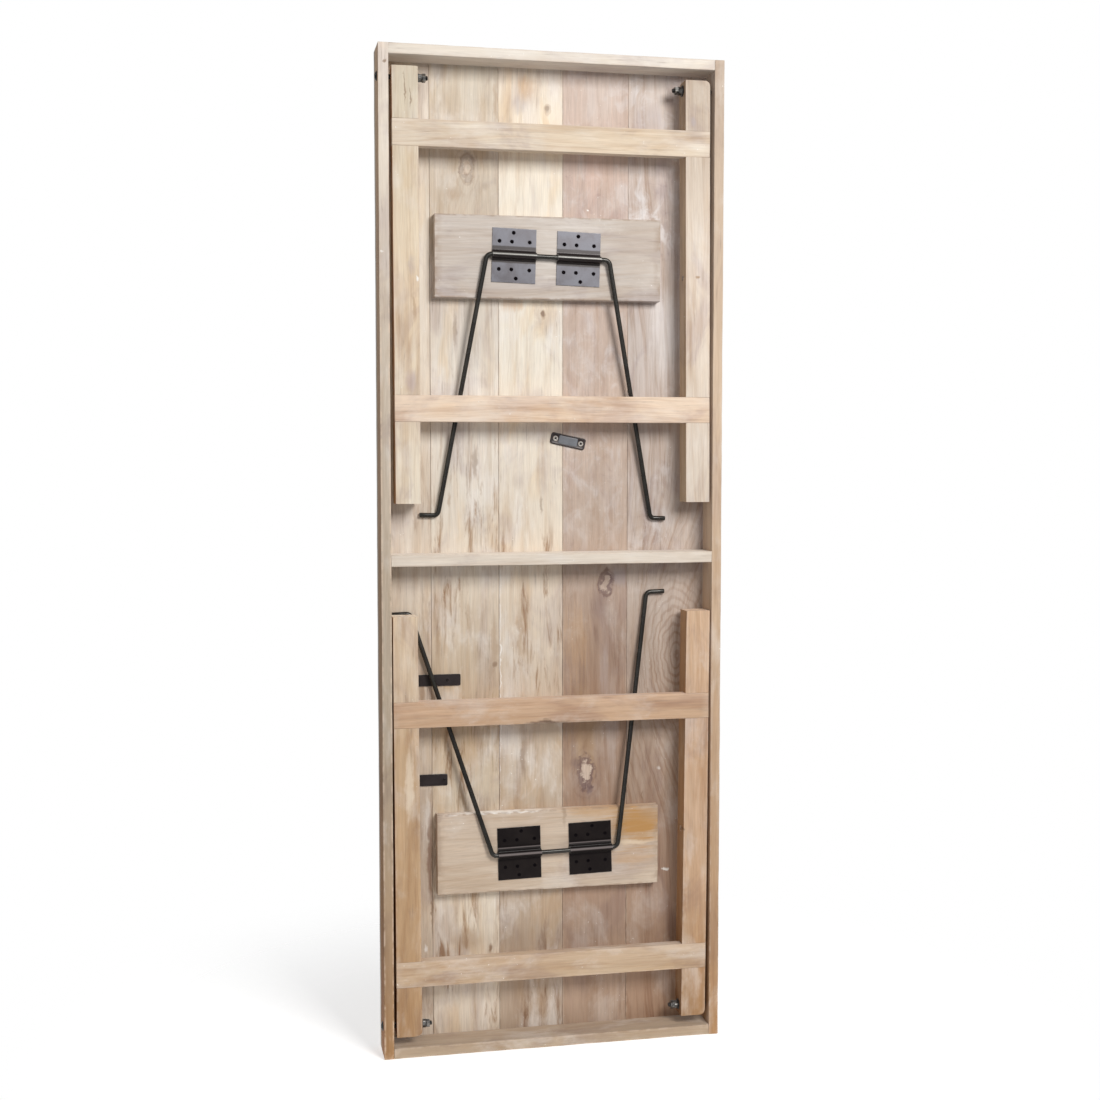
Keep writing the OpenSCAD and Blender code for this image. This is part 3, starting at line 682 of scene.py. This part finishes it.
# painted shade: each leg's side facing -X (flank) is tinted darker and browner for the shade on it, partly the raw
# wood's brown
dressed("leg_upper_left", "z", [(0.78, 0.70, 0.58), (0.76, 0.63, 0.47), (0.59, 0.52, 0.41)],
        21, LEG_MESH, -0.0031, flank=(0.80, 0.52, 0.32), honey=0.25, **LEG_LOOK,
        spots=[mark(leg, -0.252, 1.630, 1.3, 30, BROWN, 0.7),
               mark(leg, -0.243, 1.615, 1.3, 25, BROWN, 0.7),
               mark(leg, -0.250, 1.578, 12, 1.3, BROWN, 0.6),
               mark(leg, -0.243, 1.340, 10, 22, GREY, 0.5),
               mark(leg, -0.234, 1.319, 3, 6, WHITE, 0.9),
               mark(leg, -0.239, 1.272, 4, 30, STAIN, 0.6),
               mark(leg, -0.245, 1.150, 12, 25, (0.45, 0.36, 0.38), 0.6)])
dressed("leg_upper_right", "z", [(0.66, 0.57, 0.48), (0.74, 0.64, 0.54), (0.50, 0.42, 0.345)],
        22, LEG_MESH, -0.0056, flank=(0.78, 0.66, 0.50), honey=0.15, **LEG_LOOK,
        spots=[mark(leg, 0.241, 1.594, 5, 10, GREY, 0.5), mark(leg, 0.252, 1.332, 3, 3, STAIN, 0.9)])
dressed("leg_lower_left", "z",
        [(0.38, 0.24, 0.13), (0.50, 0.33, 0.19), (0.54, 0.38, 0.24), (0.76, 0.63, 0.48)],
        23, LEG_MESH, -0.0050, flank=(0.80, 0.52, 0.32), honey=0.25, **LEG_LOOK,
        spots=[mark(leg, -0.250, 0.47, 8, 70, (0.80, 0.68, 0.54), 0.6)])
dressed("leg_lower_right", "z",
        [(0.32, 0.19, 0.095), (0.54, 0.36, 0.23), (0.63, 0.45, 0.32), (0.68, 0.49, 0.34)],
        24, LEG_MESH, 0.0075, flank=(0.70, 0.56, 0.40), honey=0.25, **LEG_LOOK,
        spots=[mark(leg, 0.232, 0.37, 3, 3, BROWN, 0.9)])

# the far lower stretcher is charred along its lower edge
low_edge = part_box("stretcher_lower_far")[0].z
CHARRED = [mark(leg, -0.010, low_edge, 50, 7, (0.10, 0.06, 0.04), 0.9),
           mark(leg, 0.062, low_edge, 30, 4, BROWN, 0.8),
           mark(leg, -0.110, low_edge, 22, 4, BROWN, 0.7)]
for node, seed, stops, spots in (
        ("stretcher_upper_near", 31, [(0.69, 0.60, 0.49), (0.71, 0.62, 0.51)], ()),
        ("stretcher_upper_far", 32, [(0.77, 0.61, 0.47), (0.79, 0.63, 0.49)], ()),
        ("stretcher_lower_near", 33, [(0.50, 0.37, 0.25), (0.54, 0.40, 0.28)], ()),
        ("stretcher_lower_far", 34, [(0.56, 0.38, 0.25), (0.60, 0.41, 0.28)], CHARRED)):
    dressed(node, "x", stops, seed, (0.9, 0.4, 0.25, 0.45), spots=spots, tilt=0.03, pith=(0.05, 1.2),
            figure=1.0, honey=0.25, streak=1.3, patch=1.3)

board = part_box("hinge_board_upper")[0].y
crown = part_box("hinge_board_lower")[1].z
BOARD_MESH = (1.6, 1.4, 0.3, 0.8)
# the boards' dark edge tint is painted shade on their rounded edges, over wear
BOARD_LOOK = {"figure": 0.7, "edge": 0.6, "edge_tint": (0.34, 0.24, 0.17)}
dressed("hinge_board_upper", "x", [(0.56, 0.50, 0.45), (0.57, 0.51, 0.46)],
        41, BOARD_MESH, tilt=0.12, **BOARD_LOOK,
        spots=[mark(board, 0.0, 1.39, 60, 70, WHITE, 0.22),
               mark(board, 0.155, 1.39, 60, 70, (0.46, 0.36, 0.28), 0.35)])
dressed("hinge_board_lower", "x", [(0.58, 0.475, 0.372), (0.60, 0.485, 0.382)],
        42, BOARD_MESH, tilt=0.10, **BOARD_LOOK,
        spots=[mark(board, 0.155, 0.378, 66, 50, AMBER, 1.25),
               mark(board, 0.150, 0.316, 50, 18, HONEY, 0.5),
               mark(board, 0.085, 0.404, 70, 20, HONEY, 0.65),
               mark(board, 0.112, 0.360, 8, 40, STAIN, 0.7),
               mark(board, 0.180, 0.395, 26, 14, STAIN, 0.5),
               mark(board, 0.150, 0.344, 45, 6, (0.74, 0.60, 0.44), 0.9),
               mark(board, 0.024, 0.398, 5, 20, BROWN, 0.5),
               # painted highlight along the lower board's top edge, over pale wear
               mark(board, -0.100, crown, 100, 2.5, WHITE, 0.8)])

# ---------- steel pieces ----------

# saddle channels: a dark colour for painted shade in the hollow and a pale crest colour for a painted highlight
# over rubbed metal; the lower plates' lip is a painted highlight on their upper bend
UPPER_CHANNEL = ("upper_brace_swing", 0.0142, (0.017, 0.011, 0.011), (0.20, 0.195, 0.18))
LOWER_CHANNEL = ("lower_brace_swing", 0.0135, (0.008, 0.005, 0.005), (0.20, 0.17, 0.165))
SADDLE_UPPER = steel("steel_saddle_upper", (0.070, 0.064, 0.075), (0.110, 0.110, 0.130), 0.30, 0.34, 1,
                     grain=0.2, wear=0.25, bump=0.12, channel=UPPER_CHANNEL)
SADDLE_LOWER = steel("steel_saddle_lower", (0.0090, 0.0062, 0.0062), (0.0145, 0.0105, 0.0098), 0.0, 0.45, 2,
                     grain=0.2, wear=0.15, bump=0.10, channel=LOWER_CHANNEL, lip=0.0105, shine=0.13)
SCREW = steel("steel_plate_screw", (0.004, 0.003, 0.004), (0.008, 0.006, 0.007), 0.0, 0.75, 9,
              grain=0.0, wear=0.0, shine=0.03)
ROD = steel("steel_rod", (0.022, 0.020, 0.018), (0.038, 0.036, 0.031), 0.4, 0.27, 3,
            grain=0.2, wear=0.5, bump=0.25)
DARK = steel("steel_bolt", (0.010, 0.009, 0.009), (0.018, 0.017, 0.016), 0.2, 0.42, 4,
             grain=0.0, wear=0.12, shine=0.35)
BAR = steel("steel_bar", (0.017, 0.012, 0.012), (0.032, 0.024, 0.025), 0.2, 0.42, 5,
            grain=0.3, wear=0.3, shine=0.35)
PATCH = steel("steel_patch", (0.11, 0.115, 0.13), (0.16, 0.17, 0.19), 0.25, 0.40, 6,
              grain=0.5, wear=0.15, bump=0.2, dark_parts=(0.035, 0.026, 0.026))
NUT = steel("steel_nut", (0.05, 0.048, 0.046), (0.11, 0.105, 0.10), 0.8, 0.34, 7,
            grain=0.3, wear=0.4, wear_colour=(0.50, 0.49, 0.47))
NICKEL = steel("steel_screw", (0.62, 0.59, 0.55), (0.80, 0.78, 0.74), 0.55, 0.26, 8,
               grain=0.2, wear=0.3, wear_colour=(0.85, 0.83, 0.80), bump=0.2, dark_parts=(0.03, 0.025, 0.025))

for node in NODES:
    if node.startswith("saddle_plate"):
        upper = "upper" in node
        pressed(node, SADDLE_UPPER if upper else SADDLE_LOWER, 0.3, -1.6 if upper else 1.4)
for node in ("mending_bar_upper", "mending_bar_lower"):
    pressed(node, BAR, 0.4)

for node in ("saddle_screws_upper", "saddle_screws_lower"):
    bm = bmesh.new()
    for k, (lo, hi) in enumerate(islands(node)):
        mid = (lo + hi) / 2
        place = toward((0, -1, 0), (mid.x, lo.y + 0.35 * MM, mid.z), k * 2.4)
        screw_head(bm, place, r=3.2 * MM, top=0.25 * MM, rim=1.7 * MM, depth=1.1 * MM, slot_r=1.9 * MM,
                   slot_w=0.42 * MM, shank_r=1.7 * MM, shank=15.5 * MM, pan=False)
    tidy_normals(bm)
    publish("screws_" + node, bm, SCREW, [node], BODY_OF[node], 30)

# the mending plate's two screws are bright with recess floors painted dark for shade, the bars' screws are dark
# all over
bm, sunk = bmesh.new(), []
for k, (lo, hi) in enumerate(islands("mending_screws")):
    mid = (lo + hi) / 2
    big = hi.x - lo.x > 7 * MM
    r, head = (4.6 * MM, 2.0 * MM) if big else (2.6 * MM, 0.8 * MM)
    place = toward((0, -1, 0), (mid.x, lo.y + head, mid.z), 0.5 + k * 1.3)
    sunk += screw_head(bm, place, r=r, top=head, rim=0.4 * MM, depth=head * 0.75, slot_r=r * 0.60,
                       slot_w=r * 0.22, shank_r=1.5 * MM, shank=13 * MM, pan=True)
bm.verts.index_update()
sunk = {v.index for v in sunk}
tidy_normals(bm)
layer = bm.verts.layers.float.new("dark")
BARS_X = -0.1  # the bars' screws are left of this
for v in bm.verts:
    v[layer] = float(v.co.x < BARS_X or v.index in sunk)
publish("screws_mending", bm, NICKEL, ["mending_screws"], "table_top", 30)

BOLT_R = 4 * MM
PITCH = 1.25 * MM
THREAD_DEPTH = 0.72 * MM
NUT_WIDTH = 13 * MM
NUT_BORE = 4.05 * MM
WASHER_BORE = 4.06 * MM


def nut(bm, x0, x1, y, z, spin):
    """Hexagon nut between two planes across X, with turned chamfers."""
    out = 1 if x1 > x0 else -1
    place = Matrix.Translation((x0, y, z)) @ Matrix.Rotation(math.pi / 2 * out, 4, "Y")
    height = abs(x1 - x0)
    face_r = NUT_WIDTH / 2 * 0.96
    chamfer = 0.55

    def flat(r):
        return lambda a: r

    def hexagon(a):
        return (NUT_WIDTH / 2) / math.cos((a - spin + math.pi / 6) % (math.pi / 3) - math.pi / 6)

    def drop(a):
        return (hexagon(a) - face_r) * chamfer

    def ring(radius_at, z_at):
        return [bm.verts.new(place @ Vector((radius_at(a) * math.cos(a), radius_at(a) * math.sin(a), z_at(a))))
                for a in angles(48)]

    ease = 0.5 * MM
    mouth = NUT_BORE * 1.12
    rings = [ring(radius_at, z_at) for radius_at, z_at in (
        (flat(NUT_BORE), flat(ease)), (flat(mouth), flat(0.0)), (flat(face_r), flat(0.0)),
        (hexagon, drop), (hexagon, lambda a: height - drop(a)),
        (flat(face_r), flat(height)), (flat(mouth), flat(height)), (flat(NUT_BORE), flat(height - ease)))]
    skin(bm, rings + rings[:1])


for node in ("pivot_nuts_upper", "pivot_nuts_lower"):
    bm = bmesh.new()
    for k, (lo, hi) in enumerate(islands(node)):
        mid = (lo + hi) / 2
        nut(bm, lo.x, hi.x, mid.y, mid.z, 0.3 + 0.5 * k)
    tidy_normals(bm)
    publish("nuts_" + node, bm, NUT, [node], BODY_OF[node], 24)

bm = bmesh.new()
for lo, hi in islands("pivot_washers"):
    mid = (lo + hi) / 2
    place = Matrix.Translation((lo.x, mid.y, mid.z)) @ Matrix.Rotation(math.pi / 2, 4, "Y")
    thick, r, ease = hi.x - lo.x, (hi.z - lo.z) / 2, 0.3 * MM
    rings = revolve(bm, [(WASHER_BORE, 0), (r - ease, 0), (r, ease), (r, thick - ease), (r - ease, thick),
                         (WASHER_BORE, thick)], place, 40)
    skin(bm, [rings[-1], rings[0]])
tidy_normals(bm)
publish("washers", bm, DARK, ["pivot_washers"], "table_top", 30)


def bolt(node):
    """Domed bolt with a threaded tip. +z of its place runs outwards from the rail's outer face."""
    lo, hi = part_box(node)
    mid = (lo + hi) / 2
    right = mid.x > 0
    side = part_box("side_rail_right")[1].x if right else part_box("side_rail_left")[0].x
    outer, tip = (hi.x, lo.x) if right else (lo.x, hi.x)
    turn = Matrix.Rotation(math.pi / 2 * (1 if right else -1), 4, "Y")
    place = Matrix.Translation((side, mid.y, mid.z)) @ turn
    head_r, head_h = (hi.z - lo.z) / 2, abs(outer - side)
    start = -abs(side - tip) + 0.1 * MM
    turns, per_turn, segments = 18, 6, 32
    bm = bmesh.new()
    rings = [circle(bm, place, 0, -abs(side - tip), segments)]
    for row in range(turns * per_turn + 1):
        z = start + row * PITCH / per_turn
        taper = 0.80 + 0.20 * min(1.0, row / 7)
        ring = []
        for k, a in enumerate(angles(segments)):
            tooth = abs((row / per_turn - k / segments) % 1 - 0.5) * 2
            r = (BOLT_R - THREAD_DEPTH * tooth) * taper
            ring.append(bm.verts.new(place @ Vector((r * math.cos(a), r * math.sin(a), z))))
        rings.append(ring)
    sphere = (head_r ** 2 + head_h ** 2) / (2 * head_h)
    widest = math.asin(head_r / sphere)
    profile = [(BOLT_R, start + (turns * per_turn + 3) * PITCH / per_turn), (BOLT_R, 0),
               (head_r * 0.985, 0), (head_r, 0.35 * MM)]
    for k in range(1, 9):
        a = widest * (1 - k / 9) * 0.985
        profile.append((sphere * math.sin(a), sphere * math.cos(a) - sphere + head_h))
    profile.append((0, head_h))
    skin(bm, rings + [circle(bm, place, r, z, segments) for r, z in profile])
    tidy_normals(bm)
    publish("bolt_" + node, bm, DARK, [node], BODY_OF[node], 40)


for node in [n for n in NODES if n.startswith("pivot_bolt")]:
    bolt(node)


# ---------- brace rods ----------

ROD_R = 4 * MM
BENDS = [9 * MM, 10 * MM, 10 * MM, 9 * MM]
LEAN = math.radians(3)


def rounded(points, radii):
    """Polyline with its corners turned into arcs, as closely spaced points."""
    path = [points[0]]
    for a, b, c, radius in zip(points, points[1:], points[2:], radii):
        u, w = (a - b).normalized(), (c - b).normalized()
        half = u.angle(w) / 2
        back = radius / math.tan(half)
        centre = b + (u + w).normalized() * (radius / math.sin(half))
        start, end = b + u * back - centre, b + w * back - centre
        turn = start.angle(end)
        normal = start.cross(end).normalized()
        steps = max(6, round(turn * radius / (2.5 * MM)))
        for k in range(steps + 1):
            path.append(centre + Matrix.Rotation(turn * k / steps, 3, normal) @ start)
    path.append(points[-1])
    dense = [path[0]]
    for a, b in zip(path, path[1:]):
        pieces = max(1, round((b - a).length / (14 * MM)))
        dense += [a.lerp(b, k / pieces) for k in range(1, pieces + 1)]
    return dense


def rod(node, joint, outline, mirrored):
    """Bent round bar in a plane that leans back, with bright-cut, eased ends.

    outline: (along the crossbar, away from it) in mm, from the pivot. mirrored: its arms point down.
    """
    origin = Vector(joint["pos_m"])
    axis = Vector(joint["axis"]).normalized()
    if axis.x < 0:
        axis = -axis
    arm = Vector((0, 0, -1 if mirrored else 1))
    arm = (arm - axis * arm.dot(axis)).normalized()
    arm = (arm * math.cos(LEAN) + UNIT["y"] * math.sin(LEAN)).normalized()
    path = rounded([origin + axis * x * MM + arm * r * MM for x, r in outline], BENDS)
    normal = axis.cross(arm).normalized()
    bm = bmesh.new()
    rings = []

    def ring(at, side, radius):
        return [bm.verts.new(at + (side * math.cos(t) + normal * math.sin(t)) * radius) for t in angles(28)]

    last = len(path) - 1
    for k, at in enumerate(path):
        ahead = path[min(k + 1, last)] - path[max(k - 1, 0)]
        side = ahead.normalized().cross(normal).normalized()
        if k in (0, last):
            inward = (path[1] - path[0]).normalized() if k == 0 else (path[-2] - path[-1]).normalized()
            end = [[bm.verts.new(at + inward * 0.15 * MM)]]
            end += [ring(at + inward * depth * MM, side, ROD_R * share)
                    for depth, share in ((0.05, 0.55), (0.0, 0.80), (0.35, 0.95), (0.9, 1.0))]
            rings += end if k == 0 else end[::-1]
        else:
            rings.append(ring(at, side, ROD_R * (1 + 0.012 * noise.noise(at * 60))))
    skin(bm, rings)
    bm.verts.index_update()
    worn = {v.index for group in rings[:4] + rings[-4:] for v in group}
    tidy_normals(bm)
    layer = bm.verts.layers.float["edge"]
    for v in bm.verts:
        v[layer] = float(v.index in worn)
    publish("rod_" + node, bm, ROD, [node], BODY_OF[node], 40)


rod("brace_rod_upper", JOINTS["upper_brace_swing"],
    [(-207.8, 444.6), (-176, 444.6), (-106.3, 0), (106.3, 0), (199.6, 441.6), (226.2, 441.6)], True)
rod("brace_rod_lower", JOINTS["lower_brace_swing"],
    [(-270.8, 425.1), (-239.5, 425.1), (-111, 0), (111, 0), (178.7, 445.1), (211.2, 445.1)], False)

# ---------- mending plate with a pressed middle ----------

lo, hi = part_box("mending_plate")
mid = (lo + hi) / 2
place = Matrix.Translation((mid.x, hi.y, mid.z))
place = place @ Matrix.Rotation(math.radians(12), 4, "Y") @ Matrix.Rotation(math.pi / 2, 4, "X")


def capsule(half_len, half_w, r, z):
    """Ring in the shape of a rounded rectangle, counter-clockwise (mm)."""
    count, out = 8, []
    for cx, cy, start in ((1, 1, 0), (-1, 1, 1), (-1, -1, 2), (1, -1, 3)):
        for k in range(count + 1):
            a = math.pi / 2 * (start + k / count)
            out.append((cx * (half_len - r) + r * math.cos(a), cy * (half_w - r) + r * math.sin(a)))
    return [bm.verts.new(place @ Vector((x * MM, y * MM, z * MM))) for x, y in out]


bm = bmesh.new()
BASE = [(31.0, 10.0, 4.0, 0.0), (31.0, 10.0, 4.0, 1.9), (30.7, 9.7, 3.8, 2.25), (30.2, 9.2, 3.5, 2.4),
        (28.4, 7.4, 2.6, 2.4), (27.9, 6.9, 2.4, 2.15)]
RIDGE = [(17.0, 7.2, 2.0, 2.1), (16.8, 7.0, 1.9, 3.0), (16.4, 6.6, 1.7, 3.25), (15.4, 5.8, 1.5, 3.3)]
for rows in (BASE, RIDGE):
    rings = [capsule(*row) for row in rows]
    skin(bm, rings)
    bm.faces.new(rings[0][::-1])
    bm.faces.new(rings[-1])
tidy_normals(bm)
bm.verts.index_update()
base_count = len(BASE) * len(rings[0])
layer = bm.verts.layers.float.new("dark")
for v in bm.verts:
    v[layer] = float(v.index < base_count)
publish("steel_mending_plate", bm, PATCH, ["mending_plate"], "table_top", 30)

# ---------- floor, light, camera ----------

# the floor fades out round the table, so that its edge is never seen
floor_mat = Nodes("stage_floor")
shader = floor_mat.bsdf.inputs
speck = floor_mat.noise(floor_mat.co, 3.0, detail=3.0)
floor_mat.put(shader["Base Color"], floor_mat.mix(speck, (0.90, 0.90, 0.90), (0.93, 0.93, 0.93)))
shader["Roughness"].default_value = 0.9
shader["Emission Color"].default_value = (1, 1, 1, 1)
shader["Emission Strength"].default_value = 0.42
fade = floor_mat.make("ShaderNodeMixShader")
clear = floor_mat.make("ShaderNodeBsdfTransparent")
floor_mat.put(fade.inputs[0], floor_mat.span(floor_mat.vmath("LENGTH", floor_mat.co), 0.30, 1.0))
floor_mat.put(fade.inputs[1], floor_mat.bsdf.outputs[0])
floor_mat.put(fade.inputs[2], clear.outputs[0])
floor_mat.put(floor_mat.tree.nodes["Material Output"].inputs["Surface"], fade.outputs[0])
mesh = bpy.data.meshes.new("stage_floor")
half, drop = 30, -0.001
mesh.from_pydata([(-half, -half, drop), (half, -half, drop), (half, half, drop), (-half, half, drop)],
                 [], [(0, 1, 2, 3)])
mesh.materials.append(floor_mat.mat)
floor = bpy.data.objects.new("stage_floor", mesh)
bpy.context.scene.collection.objects.link(floor)

# a soft world lights the table, a white one is behind it
scene = bpy.context.scene
world = bpy.data.worlds.new("studio")
scene.world = world
world.use_nodes = True
tree = world.node_tree
soft = tree.nodes["Background"]
soft.inputs["Color"].default_value = (0.97, 0.98, 1.0, 1)
soft.inputs["Strength"].default_value = 0.30
seen = tree.nodes.new("ShaderNodeBackground")
seen.inputs["Color"].default_value = (1, 1, 1, 1)
seen.inputs["Strength"].default_value = 1.0
path = tree.nodes.new("ShaderNodeLightPath")
choose = tree.nodes.new("ShaderNodeMixShader")
tree.links.new(path.outputs["Is Camera Ray"], choose.inputs[0])
tree.links.new(soft.outputs[0], choose.inputs[1])
tree.links.new(seen.outputs[0], choose.inputs[2])
tree.links.new(choose.outputs[0], tree.nodes["World Output"].inputs["Surface"])


def aim(thing, at, target):
    """Places a lamp or camera so that it looks at a point."""
    thing.location = at
    thing.rotation_mode = "QUATERNION"
    thing.rotation_quaternion = (Vector(target) - thing.location).to_track_quat("-Z", "Y")
    scene.collection.objects.link(thing)


def area(name, at, target, size, power, colour, shadow=True):
    data = bpy.data.lights.new(name, "AREA")
    data.shape = "RECTANGLE"
    data.size, data.size_y = size
    data.energy = power
    data.color = colour
    data.use_shadow = shadow
    aim(bpy.data.objects.new(name, data), at, target)


area("key", (1.0, -2.7, 2.45), (0, 0, 1.15), (1.2, 1.2), 90, (1.0, 0.985, 0.96))
area("rear", (0.3, 3.4, 1.7), (0, 0, 0.9), (1.8, 1.8), 32, (1.0, 0.99, 0.97), shadow=False)
area("fill", (-2.4, -3.2, 1.2), (0, 0, 0.8), (2.5, 2.5), 13, (0.97, 0.98, 1.0))

# the camera fitted to the photo
lens = bpy.data.cameras.new("camera")
lens.lens, lens.sensor_width = 50.13, 36
lens.clip_end = 100
camera = bpy.data.objects.new("camera", lens)
aim(camera, (-0.5385, -2.5852, 1.0266), (-0.0089, -0.0365, 0.865))
scene.camera = camera
scene.view_settings.view_transform = "Standard"
scene.view_settings.look = "None"
